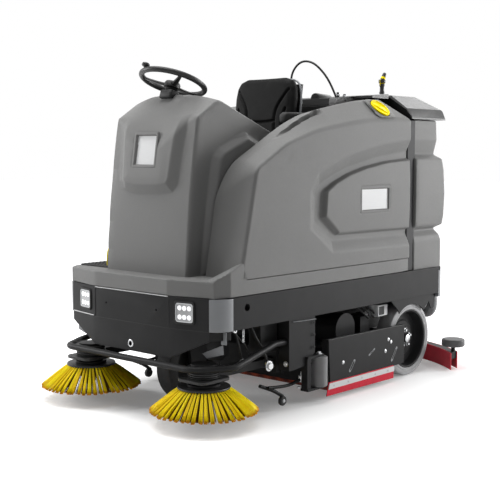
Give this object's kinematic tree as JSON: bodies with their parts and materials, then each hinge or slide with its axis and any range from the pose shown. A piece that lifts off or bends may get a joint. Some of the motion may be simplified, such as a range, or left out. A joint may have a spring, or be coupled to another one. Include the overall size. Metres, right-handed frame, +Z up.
{
  "type": "ride-on floor scrubber",
  "caption": "Ride-on floor scrubber: grey moulded hood and tanks on a black chassis, side brushes, roller scrub deck, bowed rear squeegee, steering wheel and seat.",
  "frame": {"origin": "on the floor under the middle of the overall length and width", "axes": "+Y towards the rear, +X towards the machine's left side, +Z up"},
  "size_m": [1.394, 2.4278, 1.8155],
  "materials": {
    "black_steel": "satin black paint",
    "grey_moulding": "fine-grained rotary moulding",
    "black_plastic": "grained black plastic",
    "armrest_foam": "soft skin foam",
    "mat_rubber": "raised tread studs",
    "guard_plastic": "smooth grey plastic",
    "lamp_lens": "clear lens over white lamps",
    "badge_metal": "brushed blank plate",
    "battery_case": "moulded case",
    "yellow_plastic": "moulded yellow",
    "seat_fabric": "sewn black vinyl",
    "grey_tyre": "non-marking grey",
    "wheel_paint": "gloss black paint",
    "yellow_bristle": "crimped nylon tufts",
    "roller_grey": "grey rubber",
    "roller_dark": "dark grey rubber",
    "red_rubber": "red elastomer",
    "scrub_bristle": "nylon scrub bristle",
    "hose_grey": "ribbed hose",
    "hose_black": "smooth black hose"
  },
  "bodies": {
    "chassis": {"front_bumper": "black_steel", "side_beams": "black_steel", "floor_frame": "black_steel", "corner_protectors": "guard_plastic", "rear_bumper": "black_steel", "rear_axle": "black_steel", "tool_guides": "black_steel", "work_lamps": "lamp_lens", "platform": "grey_moulding", "step_mat": "mat_rubber", "steering_tower": "grey_moulding", "left_tank": "grey_moulding", "right_tank": "grey_moulding", "rear_tank": "grey_moulding", "seat_base": "black_plastic", "battery": "battery_case", "top_deck": "black_plastic", "badge_plates": "badge_metal", "steering_column": "black_plastic", "foot_controls": "black_plastic", "wheel_gussets": "black_steel", "hoop_bumper": "black_steel", "side_brackets": "black_steel", "suction_hose": "hose_grey", "spray_gun": "black_plastic", "spray_hose": "hose_black"},
    "steer_fork": {"steer_fork": "black_steel"},
    "front_wheel": {"front_tyre": "grey_tyre", "front_rim": "wheel_paint"},
    "rear_wheel_left": {"rear_tyre_left": "grey_tyre", "rear_rim_left": "wheel_paint"},
    "rear_wheel_right": {"rear_tyre_right": "grey_tyre", "rear_rim_right": "wheel_paint"},
    "steering_wheel": {"steering_wheel": "black_plastic"},
    "brush_arm_left": {"brush_arm_left": "black_steel"},
    "brush_arm_right": {"brush_arm_right": "black_steel"},
    "side_brush_left": {"brush_hub_left": "black_plastic", "brush_bristles_left": "yellow_bristle"},
    "side_brush_right": {"brush_hub_right": "black_plastic", "brush_bristles_right": "yellow_bristle"},
    "scrub_deck": {"scrub_deck": "black_steel", "deck_side_plates": "black_steel", "deck_lips": "red_rubber"},
    "scrub_roller_front": {"scrub_roller_front": "scrub_bristle"},
    "scrub_roller_rear": {"scrub_roller_rear": "scrub_bristle"},
    "bumper_roller_left": {"bumper_roller_left": "roller_grey"},
    "bumper_roller_right": {"bumper_roller_right": "roller_grey"},
    "squeegee_carrier": {"squeegee_carrier": "black_steel"},
    "squeegee": {"squeegee_bar": "black_steel", "squeegee_blades": "red_rubber"},
    "deflector_left": {"deflector_left": "roller_dark"},
    "deflector_right": {"deflector_right": "roller_dark"},
    "tank_lid": {"tank_lid": "black_plastic"},
    "filler_cap": {"filler_cap": "yellow_plastic"},
    "seat": {"seat_pan": "black_steel", "seat_cushion": "seat_fabric", "seat_back": "seat_fabric"},
    "armrest_left": {"armrest_left": "armrest_foam"},
    "armrest_right": {"armrest_right": "armrest_foam"}
  },
  "joints": [
    {"name": "steer", "type": "hinge", "parent": "chassis", "child": "steer_fork", "pos_m": [0, -0.638, 0.42], "axis": [0, 0, 1], "range_deg": [-80, 80]},
    {"name": "front_wheel_spin", "type": "hinge", "parent": "steer_fork", "child": "front_wheel", "pos_m": [0, -0.638, 0.19], "axis": [1, 0, 0], "continuous": true},
    {"name": "rear_wheel_spin_left", "type": "hinge", "parent": "chassis", "child": "rear_wheel_left", "pos_m": [0.48, 0.646, 0.217], "axis": [1, 0, 0], "continuous": true},
    {"name": "rear_wheel_spin_right", "type": "hinge", "parent": "chassis", "child": "rear_wheel_right", "pos_m": [-0.48, 0.646, 0.217], "axis": [1, 0, 0], "continuous": true},
    {"name": "steering_wheel_turn", "type": "hinge", "parent": "chassis", "child": "steering_wheel", "pos_m": [0, -0.737, 1.651], "axis": [0, 0.342, 0.9397], "range_deg": [-480, 480]},
    {"name": "brush_lift_left", "type": "slide", "parent": "chassis", "child": "brush_arm_left", "axis": [0, 0, 1], "range_m": [-0.07, 0]},
    {"name": "brush_spin_left", "type": "hinge", "parent": "brush_arm_left", "child": "side_brush_left", "pos_m": [0.418, -0.95, 0.17], "axis": [0, 0, 1], "continuous": true},
    {"name": "brush_lift_right", "type": "slide", "parent": "chassis", "child": "brush_arm_right", "axis": [0, 0, 1], "range_m": [-0.07, 0]},
    {"name": "brush_spin_right", "type": "hinge", "parent": "brush_arm_right", "child": "side_brush_right", "pos_m": [-0.418, -0.95, 0.17], "axis": [0, 0, 1], "continuous": true},
    {"name": "deck_lift", "type": "slide", "parent": "chassis", "child": "scrub_deck", "axis": [0, 0, 1], "range_m": [-0.02, 0.03]},
    {"name": "roller_spin_front", "type": "hinge", "parent": "scrub_deck", "child": "scrub_roller_front", "pos_m": [0, -0.048, 0.098], "axis": [1, 0, 0], "continuous": true},
    {"name": "roller_spin_rear", "type": "hinge", "parent": "scrub_deck", "child": "scrub_roller_rear", "pos_m": [0, 0.117, 0.098], "axis": [1, 0, 0], "continuous": true},
    {"name": "bumper_roller_spin_left", "type": "hinge", "parent": "chassis", "child": "bumper_roller_left", "pos_m": [0.552, -0.235, 0.17], "axis": [0, 0, 1], "continuous": true},
    {"name": "bumper_roller_spin_right", "type": "hinge", "parent": "chassis", "child": "bumper_roller_right", "pos_m": [-0.552, -0.235, 0.17], "axis": [0, 0, 1], "continuous": true},
    {"name": "squeegee_lift", "type": "slide", "parent": "chassis", "child": "squeegee_carrier", "axis": [0, 0, 1], "range_m": [0, 0.05]},
    {"name": "squeegee_swing", "type": "hinge", "parent": "squeegee_carrier", "child": "squeegee", "pos_m": [0, 1.132, 0.15], "axis": [0, 0, 1], "range_deg": [-8, 8]},
    {"name": "deflector_spin_left", "type": "hinge", "parent": "squeegee", "child": "deflector_left", "pos_m": [0.628, 0.976, 0.162], "axis": [0, 0, 1], "continuous": true},
    {"name": "deflector_spin_right", "type": "hinge", "parent": "squeegee", "child": "deflector_right", "pos_m": [-0.628, 0.976, 0.162], "axis": [0, 0, 1], "continuous": true},
    {"name": "lid_hinge", "type": "hinge", "parent": "chassis", "child": "tank_lid", "pos_m": [0, 0.984, 1.496], "axis": [-1, 0, 0], "range_deg": [0, 75]},
    {"name": "filler_cap_turn", "type": "hinge", "parent": "chassis", "child": "filler_cap", "pos_m": [0.5, 0.362, 1.5415], "axis": [0.679, 0, 0.7341], "range_deg": [0, 90]},
    {"name": "seat_slide", "type": "slide", "parent": "chassis", "child": "seat", "axis": [0, 1, 0], "range_m": [-0.075, 0.075]},
    {"name": "armrest_fold_left", "type": "hinge", "parent": "seat", "child": "armrest_left", "pos_m": [0.262, 0.044, 1.482], "axis": [-1, 0, 0], "range_deg": [0, 90]},
    {"name": "armrest_fold_right", "type": "hinge", "parent": "seat", "child": "armrest_right", "pos_m": [-0.262, 0.044, 1.482], "axis": [-1, 0, 0], "range_deg": [0, 90]}
  ],
  "couplings": [
    {"joint": "steering_wheel_turn", "follows": "steer", "ratio": 6}
  ]
}
